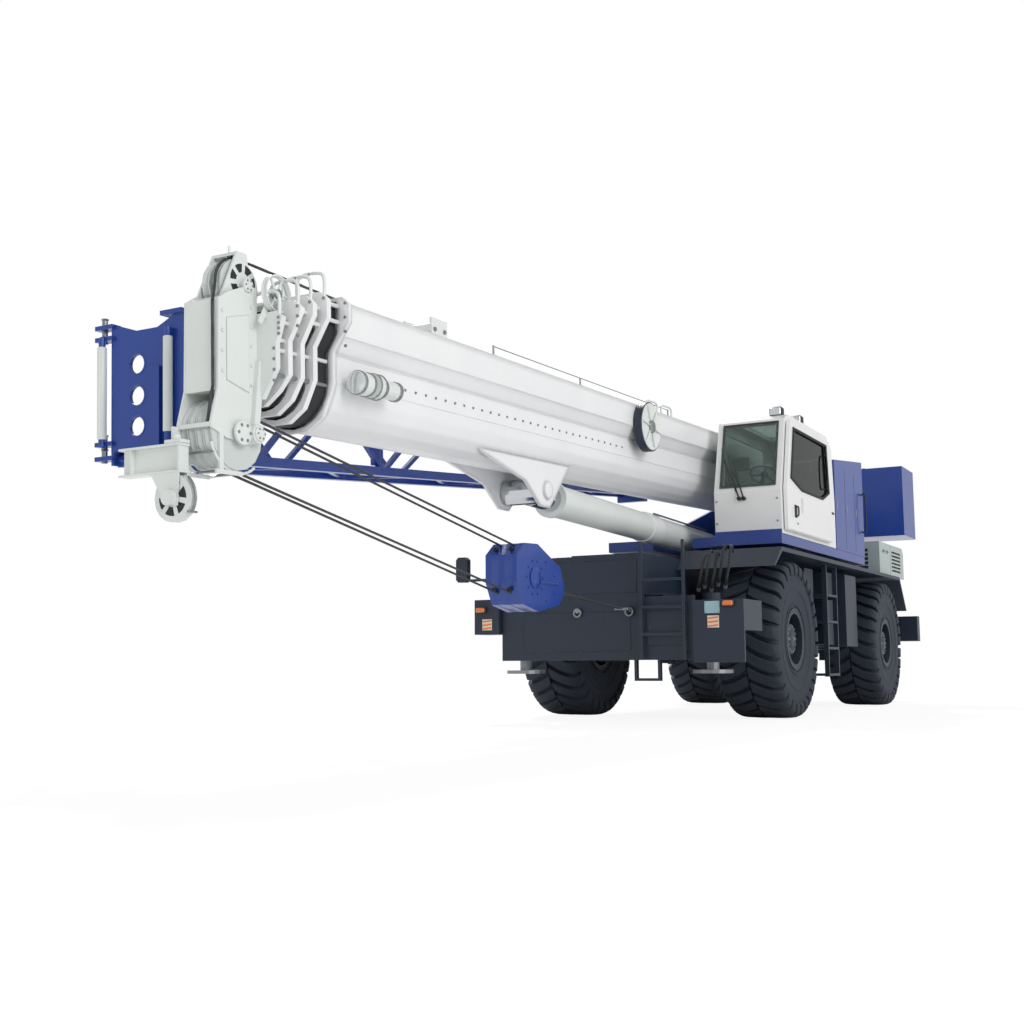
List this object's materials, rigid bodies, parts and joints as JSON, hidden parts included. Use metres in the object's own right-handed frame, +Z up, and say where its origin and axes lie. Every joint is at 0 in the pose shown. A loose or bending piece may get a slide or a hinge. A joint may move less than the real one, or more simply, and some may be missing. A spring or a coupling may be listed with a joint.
{
  "type": "rough-terrain mobile crane",
  "caption": "Two-axle rough-terrain crane with big lugged tyres, a telescoping boom lying level over its nose, a side cab, a slab counterweight and pull-out outriggers.",
  "frame": {"origin": "on the ground, at the middle of the machine's length and width with the boom in road position", "axes": "+X forwards along the boom, +Y to the driver's left, +Z up"},
  "size_m": [16.085, 3.315, 3.9894],
  "materials": {
    "carrier_paint": "semi-gloss slate enamel",
    "hood_paint": "semi-gloss pale grey enamel",
    "blue_paint": "gloss blue enamel",
    "cab_paint": "gloss white enamel",
    "boom_paint": "gloss white enamel",
    "head_paint": "semi-gloss pale grey enamel",
    "rim_paint": "semi-gloss slate enamel",
    "axle_iron": "painted casting",
    "engine_iron": "raw casting",
    "winch_steel": "worn steel",
    "sheave_plastic": "cast nylon",
    "black_plastic": "moulded",
    "cab_glass": "tinted safety glass",
    "wire_rope": "greased wire rope",
    "hard_chrome": "hard chrome",
    "tyre": "matt rubber"
  },
  "bodies": {
    "carrier": {"carrier_frame": "carrier_paint", "front_body": "carrier_paint", "deck": "carrier_paint", "side_boxes": "carrier_paint", "axle_front": "axle_iron", "axle_rear": "axle_iron"},
    "superstructure": {"turntable": "blue_paint", "side_cabinets": "blue_paint", "counterweight": "blue_paint", "winches": "winch_steel", "engine_hood": "hood_paint", "engine_block": "engine_iron", "cab_shell": "cab_paint", "cab_glass": "cab_glass", "cab_interior": "black_plastic"},
    "door": {"cab_door": "cab_paint", "cab_door_glass": "cab_glass"},
    "boom": {"boom_base": "boom_paint", "stowed_jib": "blue_paint", "boom_fittings": "head_paint"},
    "section_2": {"boom_section_2": "boom_paint"},
    "section_3": {"boom_section_3": "boom_paint"},
    "section_4": {"boom_section_4": "boom_paint"},
    "boom_tip_section": {"boom_tip": "boom_paint", "boom_head": "head_paint", "head_sheaves": "sheave_plastic", "aux_sheave": "head_paint"},
    "hook": {"hook_block": "blue_paint", "hoist_falls": "wire_rope"},
    "lift_cylinder_barrel": {"lift_barrel": "head_paint"},
    "lift_cylinder_rod": {"lift_rod": "hard_chrome"},
    "knuckle_fl_body": {"knuckle_fl": "axle_iron"},
    "wheel_fl": {"tyre_fl": "tyre", "rim_fl": "rim_paint"},
    "outrigger_fl": {"outrigger_beam_fl": "carrier_paint"},
    "outrigger_jack_fl": {"jack_fl": "winch_steel"},
    "knuckle_fr_body": {"knuckle_fr": "axle_iron"},
    "wheel_fr": {"tyre_fr": "tyre", "rim_fr": "rim_paint"},
    "outrigger_fr": {"outrigger_beam_fr": "carrier_paint"},
    "outrigger_jack_fr": {"jack_fr": "winch_steel"},
    "knuckle_rl_body": {"knuckle_rl": "axle_iron"},
    "wheel_rl": {"tyre_rl": "tyre", "rim_rl": "rim_paint"},
    "outrigger_rl": {"outrigger_beam_rl": "carrier_paint"},
    "outrigger_jack_rl": {"jack_rl": "winch_steel"},
    "knuckle_rr_body": {"knuckle_rr": "axle_iron"},
    "wheel_rr": {"tyre_rr": "tyre", "rim_rr": "rim_paint"},
    "outrigger_rr": {"outrigger_beam_rr": "carrier_paint"},
    "outrigger_jack_rr": {"jack_rr": "winch_steel"}
  },
  "joints": [
    {"name": "slew", "type": "hinge", "parent": "carrier", "child": "superstructure", "pos_m": [-3.0875, 0, 2.1], "axis": [0, 0, 1], "continuous": true},
    {"name": "cab_door_slide", "type": "slide", "parent": "superstructure", "child": "door", "axis": [-1, 0, 0], "range_m": [0, 0.76]},
    {"name": "boom_luff", "type": "hinge", "parent": "superstructure", "child": "boom", "pos_m": [-4.9913, 0, 3.24707], "axis": [0, -1, 0], "range_deg": [0, 80]},
    {"name": "telescope_2", "type": "slide", "parent": "boom", "child": "section_2", "axis": [0.9993, 0, -0.038], "range_m": [0, 8.7]},
    {"name": "telescope_3", "type": "slide", "parent": "section_2", "child": "section_3", "axis": [0.9993, 0, -0.038], "range_m": [0, 8.7]},
    {"name": "telescope_4", "type": "slide", "parent": "section_3", "child": "section_4", "axis": [0.9993, 0, -0.038], "range_m": [0, 8.7]},
    {"name": "telescope_5", "type": "slide", "parent": "section_4", "child": "boom_tip_section", "axis": [0.9993, 0, -0.038], "range_m": [0, 8.7]},
    {"name": "hook_swing", "type": "hinge", "parent": "boom_tip_section", "child": "hook", "pos_m": [7.61269, 0, 2.27092], "axis": [0, -1, 0], "range_deg": [0, 20]},
    {"name": "lift_cylinder_swing", "type": "hinge", "parent": "superstructure", "child": "lift_cylinder_barrel", "pos_m": [-2.2075, 0, 2.255], "axis": [0, -1, 0], "range_deg": [0, 92.44]},
    {"name": "lift_cylinder_stroke", "type": "slide", "parent": "lift_cylinder_barrel", "child": "lift_cylinder_rod", "axis": [0.9997, 0, 0.0251], "range_m": [0, 3.527]},
    {"name": "steer_fl", "type": "hinge", "parent": "carrier", "child": "knuckle_fl_body", "pos_m": [-0.6625, 0.86, 0.94], "axis": [0, 0, 1], "range_deg": [-25, 25]},
    {"name": "roll_fl", "type": "hinge", "parent": "knuckle_fl_body", "child": "wheel_fl", "pos_m": [-0.6625, 1.2825, 0.94], "axis": [0, 1, 0], "continuous": true},
    {"name": "outrigger_out_fl", "type": "slide", "parent": "carrier", "child": "outrigger_fl", "axis": [0, 1, 0], "range_m": [0, 1.5]},
    {"name": "jack_down_fl", "type": "slide", "parent": "outrigger_fl", "child": "outrigger_jack_fl", "axis": [0, 0, -1], "range_m": [0, 0.54]},
    {"name": "steer_fr", "type": "hinge", "parent": "carrier", "child": "knuckle_fr_body", "pos_m": [-0.6625, -0.86, 0.94], "axis": [0, 0, 1], "range_deg": [-25, 25]},
    {"name": "roll_fr", "type": "hinge", "parent": "knuckle_fr_body", "child": "wheel_fr", "pos_m": [-0.6625, -1.2825, 0.94], "axis": [0, 1, 0], "continuous": true},
    {"name": "outrigger_out_fr", "type": "slide", "parent": "carrier", "child": "outrigger_fr", "axis": [0, -1, 0], "range_m": [0, 1.5]},
    {"name": "jack_down_fr", "type": "slide", "parent": "outrigger_fr", "child": "outrigger_jack_fr", "axis": [0, 0, -1], "range_m": [0, 0.54]},
    {"name": "steer_rl", "type": "hinge", "parent": "carrier", "child": "knuckle_rl_body", "pos_m": [-5.5125, 0.86, 0.94], "axis": [0, 0, 1], "range_deg": [-25, 25]},
    {"name": "roll_rl", "type": "hinge", "parent": "knuckle_rl_body", "child": "wheel_rl", "pos_m": [-5.5125, 1.2825, 0.94], "axis": [0, 1, 0], "continuous": true},
    {"name": "outrigger_out_rl", "type": "slide", "parent": "carrier", "child": "outrigger_rl", "axis": [0, 1, 0], "range_m": [0, 1.5]},
    {"name": "jack_down_rl", "type": "slide", "parent": "outrigger_rl", "child": "outrigger_jack_rl", "axis": [0, 0, -1], "range_m": [0, 0.54]},
    {"name": "steer_rr", "type": "hinge", "parent": "carrier", "child": "knuckle_rr_body", "pos_m": [-5.5125, -0.86, 0.94], "axis": [0, 0, 1], "range_deg": [-25, 25]},
    {"name": "roll_rr", "type": "hinge", "parent": "knuckle_rr_body", "child": "wheel_rr", "pos_m": [-5.5125, -1.2825, 0.94], "axis": [0, 1, 0], "continuous": true},
    {"name": "outrigger_out_rr", "type": "slide", "parent": "carrier", "child": "outrigger_rr", "axis": [0, -1, 0], "range_m": [0, 1.5]},
    {"name": "jack_down_rr", "type": "slide", "parent": "outrigger_rr", "child": "outrigger_jack_rr", "axis": [0, 0, -1], "range_m": [0, 0.54]}
  ],
  "couplings": [
    {"joint": "hook_swing", "follows": "boom_luff", "ratio": 0.25},
    {"joint": "telescope_4", "follows": "telescope_3", "ratio": 1},
    {"joint": "telescope_5", "follows": "telescope_3", "ratio": 1},
    {"joint": "lift_cylinder_swing", "follows": "boom_luff", "ratio": 1.1492},
    {"joint": "lift_cylinder_stroke", "follows": "boom_luff", "m_per_rad": 2.5188},
    {"joint": "steer_fr", "follows": "steer_fl", "ratio": 1},
    {"joint": "steer_rr", "follows": "steer_rl", "ratio": 1}
  ]
}
